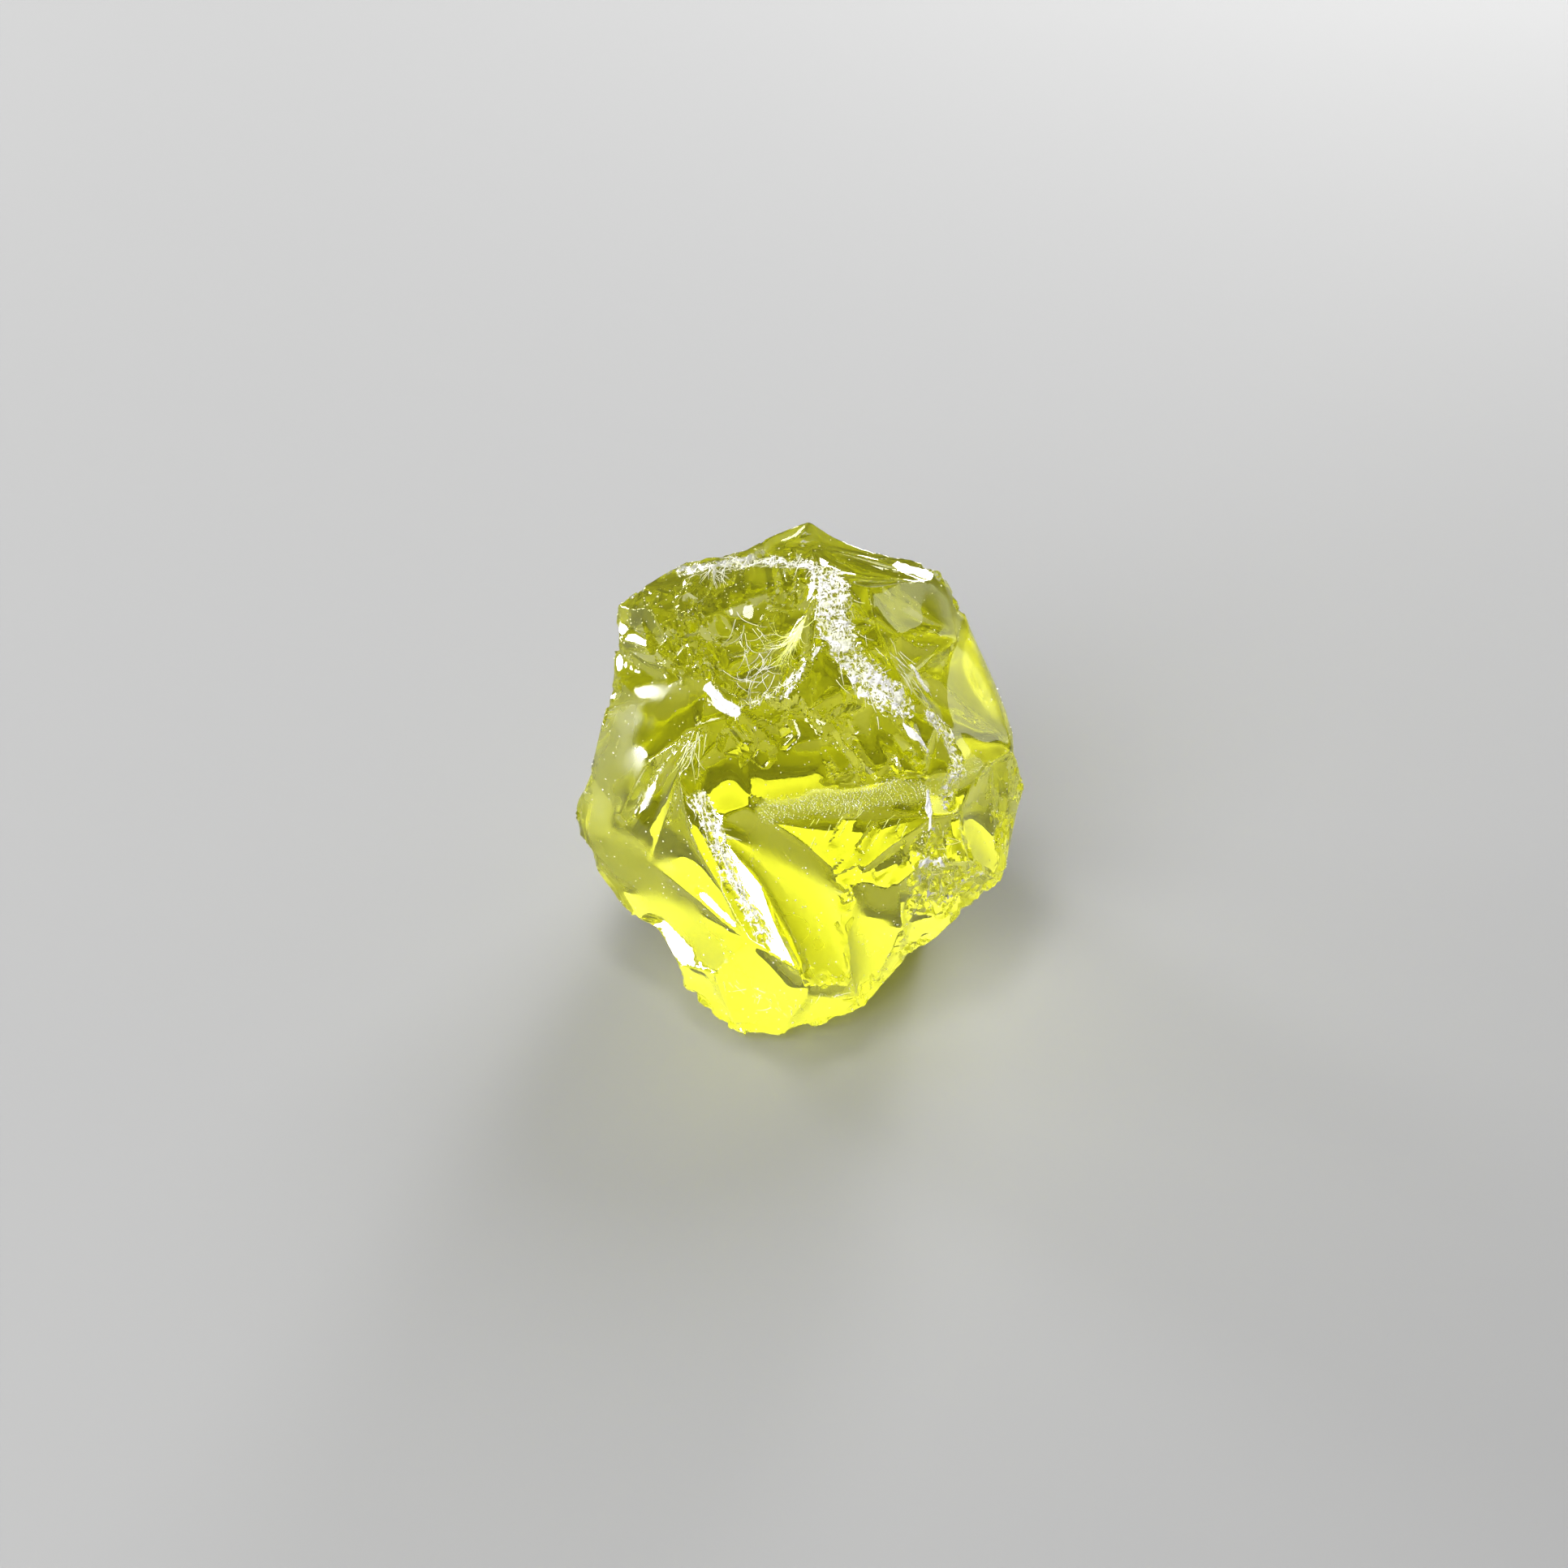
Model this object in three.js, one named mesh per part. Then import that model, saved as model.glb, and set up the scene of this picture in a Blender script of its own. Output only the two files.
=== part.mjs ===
// A rough piece of prasiolite, the yellow-green kind of quartz: one natural stone, broken on every side.
//
// The stone stands on a flat natural break. Its widest broken side leans back, so the corners of that side are
// given on a board that leans back with it: millimetres across to the right, up the board, and out from it.
// Each break between the corners is a shell-like hollow, as quartz breaks, stretched over its outline.
// Millimetres, +Z up, the leaning side towards -Y, origin under the middle of the stone's box on its resting face.

import * as THREE from 'three';

const lean = THREE.MathUtils.degToRad(40); // how far the board leans back from upright
const boardHeight = 13.5; // height of the board's zero point above the resting face
const ringsPerBreak = 4; // rings of triangles from the middle of a break to its outline
const rippleStrength = 0.3; // how far the ridges and breaks wander, as a share of the ripples below
const rippleFade = 4; // the ripples die out over this height, so that the resting face stays flat
const settleSweeps = 260; // enough for the surface of a break to come to rest

// ---- corners ------------------------------------------------------------------------------------------------

// Corners of the leaning side: [across, up, out].
const onBoard = {
  // outline, clockwise from the peak
  peak: [0.8, 17.0, 1.0],
  crownE: [4.1, 15.2, 1.0],
  flare: [7.5, 14.6, 1.4],
  cornerNE: [9.2, 14.1, 0.9],
  browE: [10.7, 11.7, 0],
  templeE: [12.6, 7.5, 0],
  waistE: [14.1, 4.0, 0],
  nick: [14.1, 1.7, 2.0],
  bump: [15.1, -0.6, 0],
  hipE: [13.9, -4.9, 0],
  hipSE: [13.2, -6.8, 0.3],
  jagA: [10.7, -8.7, 0.3],
  jagAB: [9.0, -10.6, 0.2],
  jagB: [7.3, -11.7, 0.3],
  jagC: [4.1, -15.2, 0.8],
  toeE: [1.3, -16.4, 0.4],
  toeMid: [-1.5, -17.1, 0.6],
  toeW: [-4.1, -17.1, 0.6],
  footA: [-7.7, -14.1, 0.2],
  footB: [-8.0, -12.3, 2.3],
  notchSW: [-9.3, -10.1, 0.4],
  underW: [-11.3, -9.1, 0],
  hipW: [-13.3, -6.7, 0],
  hipUp: [-14.5, -4.4, 0],
  bulge: [-14.9, -2.3, 0],
  cheekW: [-14.1, 0.5, 0],
  neckLow: [-13.5, 2.4, 0.2],
  neckW: [-13.0, 4.3, 0.5],
  notchNW: [-12.2, 6.8, 1.0],
  templeW: [-12.4, 9.4, 0.6],
  shoulderW: [-12.2, 11.5, 0.6],
  browW: [-10.5, 12.8, 0.6],
  rimW: [-7.3, 14.7, 0.6],
  rimN: [-3.5, 15.1, 1.2],
  peakW: [-1.6, 16.1, 1.2],
  // crown, above the bowl
  peakFoot: [0.8, 15.3, 1.9],
  flareS: [6.2, 13.8, 3.2],
  flareE: [8.4, 12.9, 3.0],
  rimNotch: [4.4, 12.5, 6.4],
  rimMid: [1.2, 13.8, 4.2],
  rimTopW: [-5.9, 14.2, 2.4],
  // bowl, the deep shell-shaped break
  bowlW: [-7.8, 9.9, 5.2],
  bowlSW: [-5.8, 6.4, 7.8],
  bowlS: [-4.0, 4.3, 9.0],
  bowlSE: [-0.9, 5.6, 9.6],
  saddle: [1.1, 8.5, 9.4],
  // crushed ridge beside the bowl
  crumbNE: [2.9, 12.9, 5.2],
  crumbN: [2.9, 9.1, 9.0],
  crumbA: [4.9, 10.1, 8.0],
  crumbB: [6.7, 6.5, 8.6],
  ridgeMid: [6.0, 4.9, 9.6],
  crumbC: [8.8, 3.9, 7.6],
  ridgeLow: [8.1, 1.6, 9.4],
  crumbD: [10.3, 0.3, 7.6],
  // right side
  bevelA: [8.5, 11.9, 3.2],
  bevelB: [10.4, 9.3, 2.6],
  bevelC: [12.2, 5.9, 2.3],
  wingTop: [12.0, 0.7, 5.6],
  wingLow: [10.3, -2.1, 7.4],
  ribN: [12.7, 0.9, 4.2],
  ribNE: [13.6, 0.9, 3.0],
  ribS: [12.9, -6.7, 1.6],
  ribSE: [13.6, -5.9, 0.9],
  // ledge across the middle
  bandNW: [-2.9, -1.6, 10.3],
  bandNE: [8.1, -0.1, 9.3],
  bandSE: [8.6, -2.3, 9.0],
  bandSW: [-1.8, -2.7, 10.0],
  // left side
  templeIn: [-10.1, 11.1, 3.6],
  templeMid: [-9.2, 8.5, 5.3],
  ledgeN: [-7.5, 6.1, 7.2],
  ledgeW: [-10.4, 5.2, 4.6],
  knot: [-6.7, 3.3, 9.1],
  fork: [-7.7, -0.1, 9.0],
  creaseN: [-9.7, 1.1, 7.2],
  creaseW: [-11.8, -2.4, 4.8],
  creaseS: [-9.8, -5.6, 5.2],
  // long narrow break below the fork, that looks to the left
  streakN: [-6.0, -2.7, 9.0],
  streakE: [-2.6, -6.9, 9.6],
  streakW: [-4.4, -7.1, 8.9],
  streakS: [-0.4, -12.2, 9.6],
  streakSW: [-3.1, -10.6, 8.6],
  stripW: [-7.0, -4.2, 8.6],
  // lower front
  spineS: [0.8, -13.3, 6.8],
  dimple: [3.0, -6.3, 9.2],
  facetS: [3.3, -13.3, 5.6],
  chipN: [8.2, -5.4, 7.5],
  chipW: [6.3, -6.9, 7.4],
  chipS: [6.8, -10.1, 4.2],
  chipE: [10.8, -5.3, 6.6],
  heelIn: [-5.6, -12.7, 5.4],
  glareN: [-8.0, -10.2, 1.7],
  glareS: [-6.6, -12.6, 3.9],
};

// Corners of the resting face and of the back: [x, y, z].
const upright = {
  baseSW: [-4.6, -9.4, 0],
  baseS: [0.8, -8.8, 0],
  baseSE: [5, -5.5, 0],
  baseE: [9, 1, 0],
  baseNE: [6.5, 12.4, 0],
  baseNW: [-6, 12.6, 0],
  baseW: [-9.5, 1, 0],
  backTop: [0, 11.8, 20.5],
  backE: [8, 10.8, 16],
  backW: [-8.5, 10.8, 16.5],
  backMid: [1, 13.2, 10],
  sideE: [12.6, 5.5, 9.5],
  sideW: [-12.6, 4.5, 9.5],
  lowNW: [-8, 11.6, 5],
  lowNE: [8, 11.4, 4.4],
};

// ---- breaks -------------------------------------------------------------------------------------------------

// Each break: how deep it is hollowed in millimetres (a negative one swells out), and the corners round it.
const breaks = {
  // crown
  peakLeft: [0.2, 'peak peakFoot rimN peakW'],
  peakRight: [0.3, 'peak crownE flare flareS peakFoot'],
  crownLeft: [0.3, 'rimN peakFoot rimMid rimTopW'],
  crownRight: [0.3, 'peakFoot flareS flareE rimNotch crumbNE rimMid'],
  flareFacet: [0.1, 'flareS flare cornerNE flareE'],
  rimStrip: [0.1, 'rimW rimN rimTopW'],
  // bowl and crushed ridge
  bowl: [2.2, 'rimTopW rimMid saddle bowlSE bowlS bowlSW bowlW'],
  crushedTop: [0.1, 'rimMid crumbNE crumbN saddle'],
  nook: [0.5, 'crumbNE rimNotch crumbA crumbN'],
  crushedMiddle: [0.1, 'saddle crumbN crumbA crumbB ridgeMid'],
  crushedLow: [0.2, 'crumbB crumbC ridgeLow ridgeMid'],
  crushedFoot: [0.2, 'crumbC crumbD bandNE ridgeLow'],
  // right side
  rightTop: [0.4, 'rimNotch flareE bevelA bevelB crumbB crumbA'],
  rightLow: [0.5, 'bevelB bevelC nick wingTop crumbD crumbC crumbB'],
  bevelTop: [-0.4, 'flareE cornerNE browE bevelB bevelA'],
  bevelLow: [-0.4, 'browE templeE waistE nick bevelC bevelB'],
  wing: [0.2, 'crumbD wingTop wingLow bandSE bandNE'],
  underWing: [0.2, 'bandSE wingLow chipE chipN'],
  flankTop: [0.3, 'wingTop ribN ribS chipE wingLow'],
  flankLow: [0.3, 'ribS hipSE jagA chipE'],
  rib: [0.1, 'ribN ribNE ribSE ribS'],
  bumpFace: [-0.2, 'ribNE nick bump hipE ribSE'],
  nickFacet: [0.05, 'wingTop nick ribNE ribN'],
  hipFacet: [0.05, 'ribS ribSE hipE hipSE'],
  // middle
  middleLeft: [0.4, 'bowlS bandNW streakN fork knot'],
  middleRight: [0.6, 'saddle ridgeMid ridgeLow bandNE bandNW bowlS bowlSE'],
  band: [-0.2, 'bandNW bandNE bandSE bandSW'],
  glint: [0.1, 'bowlSW bowlS knot'],
  // left side
  rimSlope: [0.3, 'browW rimW rimTopW bowlW templeIn'],
  shoulderFacet: [0.1, 'shoulderW browW templeIn'],
  templeUpper: [0.3, 'shoulderW templeIn templeMid templeW'],
  templeInner: [0.3, 'templeIn bowlW bowlSW ledgeN templeMid'],
  templeLower: [0.3, 'templeW templeMid ledgeN ledgeW notchNW'],
  window: [0.1, 'notchNW ledgeW neckW'],
  ledgeFacet: [0.1, 'ledgeN bowlSW knot'],
  cheek: [-0.8, 'neckW ledgeW ledgeN knot creaseN creaseW cheekW neckLow'],
  crease: [0.3, 'knot fork creaseS creaseW creaseN'],
  bulgeFace: [-0.5, 'cheekW creaseW creaseS hipW hipUp bulge'],
  innerLeft: [0.3, 'fork stripW streakSW creaseS'],
  lowerLeft: [0.5, 'creaseS streakSW heelIn glareS glareN notchSW underW hipW'],
  // lower front
  strip: [0.15, 'fork streakN streakW streakS streakSW stripW'],
  streak: [0.05, 'streakN streakE streakS streakW'],
  ledgeUnder: [0.2, 'bandSW bandSE dimple'],
  lower: [0.8, 'streakN bandNW bandSW dimple facetS spineS streakS streakE'],
  dimpleFacet: [0.3, 'bandSE chipN chipW dimple'],
  darkFacet: [0.3, 'dimple chipW chipS jagC facetS'],
  chips: [0.4, 'chipN chipE jagA jagAB jagB chipS chipW'],
  chipFoot: [0.1, 'chipS jagB jagC'],
  toeLeft: [0.2, 'streakSW streakS spineS toeMid toeW heelIn'],
  toeRight: [0.2, 'spineS facetS jagC toeE toeMid'],
  heel: [0.4, 'heelIn toeW footA footB glareS'],
  glareFacet: [0.05, 'notchSW glareN glareS footB'],
  // underside
  underToe: [0.05, 'toeW toeMid toeE baseS baseSW'],
  underSouthEast: [0.2, 'toeE jagC baseSE baseS'],
  underJag: [0.3, 'jagC jagB jagAB jagA baseE baseSE'],
  underEast: [0.5, 'jagA hipSE sideE baseE'],
  underFoot: [0.2, 'footA toeW baseSW'],
  underSouthWest: [0.5, 'footB footA baseSW baseW'],
  underNotch: [0.3, 'underW notchSW footB baseW'],
  underWest: [0.6, 'hipW underW baseW sideW'],
  restingFace: [0, 'baseSW baseS baseSE baseE baseNE baseNW baseW'],
  // back
  backPeakLeft: [0.5, 'peak peakW rimN rimW browW backW backTop'],
  backPeakRight: [0.5, 'peak backTop backE flare crownE'],
  backCorner: [0.2, 'flare backE browE cornerNE'],
  backTempleEast: [0.5, 'browE backE sideE waistE templeE'],
  sideBump: [0.2, 'waistE sideE bump nick'],
  sideHip: [0.3, 'bump sideE hipSE hipE'],
  backBrow: [0.3, 'browW shoulderW templeW backW'],
  backTempleWest: [0.5, 'templeW notchNW neckW sideW backW'],
  sideCheek: [0.4, 'neckW neckLow cheekW bulge sideW'],
  sideBulge: [0.3, 'bulge hipUp hipW sideW'],
  backHighWest: [0.4, 'backTop backW backMid'],
  backHighEast: [0.4, 'backTop backMid backE'],
  backSideWest: [0.4, 'backW sideW lowNW'],
  backLowWest: [0.4, 'backW lowNW backMid'],
  backLowEast: [0.6, 'backE backMid lowNE sideE'],
  backFoot: [0.5, 'backMid lowNW lowNE'],
  heelNorthWest: [0.3, 'sideW baseW baseNW lowNW'],
  heelNorth: [0.3, 'lowNW baseNW baseNE lowNE'],
  heelNorthEast: [0.3, 'lowNE baseNE baseE sideE'],
};

// ---- geometry -----------------------------------------------------------------------------------------------

function boardToFrame([across, up, out]) {
  return new THREE.Vector3(
    across,
    up * Math.sin(lean) - out * Math.cos(lean),
    boardHeight + up * Math.cos(lean) + out * Math.sin(lean),
  );
}

const corners = {};
for (const [name, place] of Object.entries(onBoard)) corners[name] = boardToFrame(place);
for (const [name, place] of Object.entries(upright)) corners[name] = new THREE.Vector3(...place);

const heart = new THREE.Vector3(0, 0, boardHeight); // a point well inside the stone, to tell out from in

// The area vector of an outline: along its outward normal, as long as twice its area.
function areaVector(outline) {
  const sum = new THREE.Vector3();
  outline.forEach((point, i) => {
    sum.add(new THREE.Vector3().crossVectors(point, outline[(i + 1) % outline.length]));
  });
  return sum;
}

// Slow sine ripples that bend straight edges and flat breaks a little, as no natural ridge is straight.
function ripple({ x, y, z }) {
  const rise = THREE.MathUtils.smoothstep(z, 0, rippleFade) * rippleStrength;
  return new THREE.Vector3(
    0.35 * Math.sin(0.55 * y + 0.4 * z + 1) + 0.22 * Math.sin(1.1 * z - 0.7 * x + 2) + 0.12 * Math.sin(2.1 * y + 1.3 * x),
    0.35 * Math.sin(0.5 * x - 0.45 * z + 2) + 0.22 * Math.sin(x + 0.9 * z + 0.5) + 0.12 * Math.sin(1.9 * z - 1.1 * y + 1),
    0.35 * Math.sin(0.45 * x + 0.5 * y + 3) + 0.22 * Math.sin(1.2 * y - 0.8 * x + 1.5) + 0.12 * Math.sin(2 * x + 1.2 * y + 2),
  ).multiplyScalar(rise);
}

// The triangles of rings round a middle point: ring r has sides * r points, and ring 0 is the middle.
function ringMesh(sides, rings) {
  const firstOf = (ring) => (ring === 0 ? 0 : 1 + (sides * ring * (ring - 1)) / 2);
  const pointOf = (ring, step) => (ring === 0 ? 0 : firstOf(ring) + (step % (sides * ring)));
  const triangles = [];
  for (let ring = 0; ring < rings; ring++) {
    for (let side = 0; side < sides; side++) {
      for (let k = 0; k <= ring; k++) {
        const inner = pointOf(ring, side * ring + k);
        const outer = side * (ring + 1) + k;
        triangles.push([inner, pointOf(ring + 1, outer), pointOf(ring + 1, outer + 1)]);
        if (k < ring) {
          triangles.push([inner, pointOf(ring + 1, outer + 1), pointOf(ring, side * ring + k + 1)]);
        }
      }
    }
  }
  return { triangles, inside: firstOf(rings), count: firstOf(rings + 1) };
}

// Points evenly along the straight sides of an outline.
function alongOutline(outline, steps) {
  return outline.flatMap((corner, i) => {
    const next = outline[(i + 1) % outline.length];
    return Array.from({ length: steps }, (_, k) => corner.clone().lerp(next, k / steps));
  });
}

// One break: a skin stretched over the outline comes to rest, then a smooth hollow is pressed into it.
function breakSurface(outline, hollow) {
  const normal = areaVector(outline).normalize();
  const { triangles, inside, count } = ringMesh(outline.length, ringsPerBreak);
  const middle = outline.reduce((sum, p) => sum.add(p), new THREE.Vector3()).divideScalar(outline.length);
  const points = Array.from({ length: inside }, () => middle.clone());
  points.push(...alongOutline(outline, ringsPerBreak));

  const neighbours = Array.from({ length: count }, () => new Set());
  for (const [a, b, c] of triangles) {
    neighbours[a].add(b).add(c);
    neighbours[b].add(a).add(c);
    neighbours[c].add(a).add(b);
  }
  for (let sweep = 0; sweep < settleSweeps; sweep++) {
    for (let i = 0; i < inside; i++) {
      points[i].set(0, 0, 0);
      for (const j of neighbours[i]) points[i].add(points[j]);
      points[i].divideScalar(neighbours[i].size);
    }
  }

  const load = new Array(count).fill(0);
  for (const triangle of triangles) {
    const area = areaVector(triangle.map((i) => points[i])).length();
    for (const i of triangle) load[i] += area;
  }
  const depth = new Array(count).fill(0);
  for (let sweep = 0; sweep < settleSweeps; sweep++) {
    for (let i = 0; i < inside; i++) {
      let sum = load[i];
      for (const j of neighbours[i]) sum += depth[j];
      depth[i] = sum / neighbours[i].size;
    }
  }
  const deepest = Math.max(...depth);
  for (let i = 0; i < inside; i++) points[i].addScaledVector(normal, (-hollow * depth[i]) / deepest);
  return { points, triangles };
}

// The resting face is flat, so a plain fan of large triangles covers it.
function flatFan(outline) {
  const rim = alongOutline(outline, ringsPerBreak);
  const middle = outline.reduce((sum, p) => sum.add(p), new THREE.Vector3()).divideScalar(outline.length);
  const triangles = rim.map((_, i) => [0, 1 + i, 1 + ((i + 1) % rim.length)]);
  return { points: [middle, ...rim], triangles };
}

// All the breaks joined along their shared edges into one closed skin.
function stoneGeometry() {
  const position = [];
  const index = [];
  const known = new Map();
  const shared = (point) => {
    const key = [point.x, point.y, point.z].map((v) => Math.round(v * 1e4)).join(' ');
    if (!known.has(key)) {
      known.set(key, position.length / 3);
      position.push(...point.clone().add(ripple(point)).toArray());
    }
    return known.get(key);
  };
  for (const [hollow, names] of Object.values(breaks)) {
    const outline = names.split(' ').map((name) => corners[name]);
    if (areaVector(outline).dot(outline[0].clone().sub(heart)) < 0) outline.reverse();
    const { points, triangles } = hollow === 0 ? flatFan(outline) : breakSurface(outline, hollow);
    for (const triangle of triangles) index.push(...triangle.map((i) => shared(points[i])));
  }
  const geometry = new THREE.BufferGeometry();
  geometry.setAttribute('position', new THREE.Float32BufferAttribute(position, 3));
  geometry.setIndex(index);
  geometry.computeVertexNormals();
  return geometry;
}

// ---- the part -----------------------------------------------------------------------------------------------

const crystal = new THREE.MeshStandardMaterial({ color: 0xd9d64b, roughness: 0.05, metalness: 0 });

const stone = new THREE.Mesh(stoneGeometry(), crystal);
stone.name = 'prasiolite';

// The stone's box is centred over the origin, standing on the resting face.
stone.geometry.computeBoundingBox();
const middleOfBox = stone.geometry.boundingBox.getCenter(new THREE.Vector3());
stone.position.set(-middleOfBox.x, -middleOfBox.y, 0);

const part = new THREE.Group();
part.add(stone);

export default part;
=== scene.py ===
"""Raw prasiolite: one rough yellow-green quartz stone, clear as glass, on a pale floor.

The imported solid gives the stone's main breaks. Here its skin is made fine: its breaks get ribs and
hackles, its ridges get chips, and its crushed zones get their sugary grains, under a white crust.
Lengths are in millimetres until MM turns them into Blender's metres.
"""

import math

import bpy
import numpy as np
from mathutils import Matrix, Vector
from mathutils.kdtree import KDTree


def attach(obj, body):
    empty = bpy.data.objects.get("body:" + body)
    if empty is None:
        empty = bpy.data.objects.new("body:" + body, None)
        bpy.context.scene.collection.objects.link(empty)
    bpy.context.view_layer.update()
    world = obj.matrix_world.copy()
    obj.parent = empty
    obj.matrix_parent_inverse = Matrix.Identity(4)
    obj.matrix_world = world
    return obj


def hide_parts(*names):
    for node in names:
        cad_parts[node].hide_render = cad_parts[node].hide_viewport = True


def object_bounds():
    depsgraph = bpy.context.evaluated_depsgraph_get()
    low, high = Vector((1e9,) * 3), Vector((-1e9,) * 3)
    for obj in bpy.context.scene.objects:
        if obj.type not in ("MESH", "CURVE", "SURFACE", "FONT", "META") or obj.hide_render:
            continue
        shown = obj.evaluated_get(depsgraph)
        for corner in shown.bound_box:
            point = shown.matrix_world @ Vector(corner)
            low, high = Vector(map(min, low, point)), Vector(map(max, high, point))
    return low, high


MM = 0.001
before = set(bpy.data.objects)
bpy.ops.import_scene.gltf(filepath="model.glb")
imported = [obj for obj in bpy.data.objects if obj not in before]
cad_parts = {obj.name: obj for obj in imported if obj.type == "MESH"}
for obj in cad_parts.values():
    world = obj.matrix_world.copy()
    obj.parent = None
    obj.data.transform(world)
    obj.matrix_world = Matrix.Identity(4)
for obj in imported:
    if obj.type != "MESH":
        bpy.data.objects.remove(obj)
cad_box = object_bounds()
FRONT = cad_box[0][1] / MM  # where the stone's box begins: places on its front are measured from there

# ---- camera --------------------------------------------------------------------------------------

LENS = 100.0
SENSOR_WIDTH = 36
NEAREST_SEEN = 10
FARTHEST_SEEN = 10_000
CAMERA_DISTANCE = 289.8
CAMERA_ELEVATION = math.radians(40)
AIM = (-1.06, FRONT + 15.03, 13.25)  # a little left of the stone's middle


def make_camera():
    data = bpy.data.cameras.new("camera")
    data.lens = LENS
    data.sensor_width = SENSOR_WIDTH
    data.clip_start = NEAREST_SEEN * MM
    data.clip_end = FARTHEST_SEEN * MM
    camera = bpy.data.objects.new("camera", data)
    bpy.context.scene.collection.objects.link(camera)
    away = Vector((0, -math.cos(CAMERA_ELEVATION), math.sin(CAMERA_ELEVATION)))
    camera.location = (Vector(AIM) + away * CAMERA_DISTANCE) * MM
    camera.rotation_euler = (math.pi / 2 - CAMERA_ELEVATION, 0, 0)
    bpy.context.scene.camera = camera


make_camera()

# ---- where the stone is crushed, and where highlights are painted --------------------------------

# Each zone: the line it follows over the stone's skin, its half width, the size of its grains and
# their depth, and how much of it is under a white crust, from 0 for a few specks to 1 for all of it.
# The glint and the four long strokes are not crushed: their white crust is a painted highlight over
# shallow grains, and the creases' white specks are painted highlight too. A line's places are across
# to the right, back from the front of the stone's box, and up.
CRUSHED = {
    "ridge": ([(1.8, 20.1, 26.6), (2.1, 17.5, 26.4), (2.4, 14.8, 26.2), (3.3, 13.3, 25.3),
               (4.7, 12.0, 24.3), (6.4, 11.4, 23.1)], 1.15, 0.55, 0.32, 0.15),
    "column": ([(8.6, 11.9, 21.5), (9.5, 11.9, 20.1), (10.1, 10.9, 19.0), (10.2, 9.4, 18.5),
                (9.5, 8.4, 17.5)], 0.7, 0.6, 0.32, 0.2),
    "rim": ([(-7.8, 23.3, 24.7), (-5.7, 22.6, 25.9), (-3.0, 23.2, 25.8), (-0.6, 22.8, 26.1),
             (1.0, 21.0, 26.7)], 0.45, 0.45, 0.22, 0.15),
    "lip": ([(-4.2, 11.3, 22.6), (-2.6, 11.2, 22.9), (-1.3, 11.4, 23.4), (-0.6, 11.7, 24.0),
             (0.0, 12.4, 24.8), (1.2, 13.5, 26.0)], 0.16, 0.3, 0.15, 0.5),
    # A painted glint: a nearly solid white crust patch that stands in for a glint of light, over shallow
    # grains.
    "painted glint": ([(-5.9, 13.0, 23.2), (-5.2, 11.9, 22.7), (-4.3, 11.3, 22.6)], 0.42, 0.5, 0.12, 0.95),
    "streak": ([(-6.6, 7.5, 18.3), (-5.9, 6.5, 17.4), (-5.3, 5.4, 16.0), (-4.5, 4.2, 14.2),
                (-3.4, 3.1, 12.8), (-2.4, 1.9, 11.7)], 0.6, 0.5, 0.2, 0.05),
    # The two creases are partly painted highlight: shallow real grains, with white crust specks that stand
    # in for the thin highlights along their ridges.
    "crease": ([(-6.5, 10.7, 22.0), (-8.2, 10.3, 20.1), (-9.8, 10.1, 17.4), (-10.9, 9.6, 15.1)],
               0.11, 0.4, 0.08, 0.0),
    "second crease": ([(-6.3, 10.4, 21.6), (-7.1, 9.4, 20.4), (-7.9, 8.2, 18.7), (-8.5, 7.9, 16.2)],
                      0.11, 0.4, 0.08, 0.0),
    "chips": ([(8.4, 6.4, 15.8), (8.0, 6.0, 12.9), (8.7, 7.2, 9.2), (9.6, 8.2, 8.2), (11.0, 8.1, 11.0)],
              1.1, 0.9, 0.35, 0.0),
    # The next four zones are painted highlights: long white crust strokes that stand in for mirror glints,
    # over very shallow grains.
    "painted upright highlight": ([(8.2, 7.8, 18.7), (8.3, 6.9, 17.8), (8.4, 6.3, 16.1)], 0.2, 0.5, 0.05, 1.0),
    "painted slant highlight": ([(6.4, 10.7, 22.4), (7.1, 10.1, 21.7), (8.1, 9.6, 20.6)], 0.24, 0.5, 0.05, 1.0),
    "painted upper highlight": ([(7.2, 14.4, 23.8), (7.7, 14.0, 23.0), (8.2, 13.8, 22.2)], 0.13, 0.5, 0.05, 0.9),
    "painted lower highlight": ([(8.7, 6.6, 15.3), (9.1, 6.4, 14.1), (9.5, 7.0, 12.3)], 0.13, 0.5, 0.05, 0.7),
}

# Places that are a little matt without being crushed: a line, its half width, and how matt it is,
# from 0 to 1.
MATT = {
    "ledge": ([(-11.0, 15.6, 19.6), (-9.9, 15.2, 20.8), (-8.2, 14.1, 22.2), (-7.4, 13.7, 22.6)], 1.6, 0.3),
    "cheek": ([(-10.5, 11.5, 18.7), (-10.1, 9.8, 16.4)], 1.2, 0.3),
    "left face": ([(-11.7, 13.7, 18.3), (-12.9, 12.8, 14.9), (-12.9, 10.6, 12.5), (-10.4, 8.2, 11.8),
                   (-8.8, 7.5, 9.5)], 4.0, 0.5),
    "left foot": ([(-7.2, 6.0, 9.5), (-5.6, 3.3, 7.6), (-4.0, 3.2, 4.0), (-1.4, 2.8, 4.5)], 3.2, 0.5),
    "belly": ([(-1.9, 5.5, 15.5), (0.8, 4.3, 12.4), (2.3, 3.2, 9.8), (4.0, 4.3, 6.0)], 4.0, 0.5),
    "bevel": ([(8.8, 21.0, 24.8), (10.3, 20.4, 22.8), (11.8, 18.6, 20.5), (13.1, 16.5, 18.1)], 2.0, 0.3),
    "ribbon": ([(-2.1, 6.2, 18.4), (0.7, 6.6, 18.7), (3.9, 7.0, 18.7), (7.0, 7.6, 18.9),
                (9.7, 9.2, 18.2), (11.6, 11.3, 17.9)], 1.1, 0.9),
}

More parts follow.
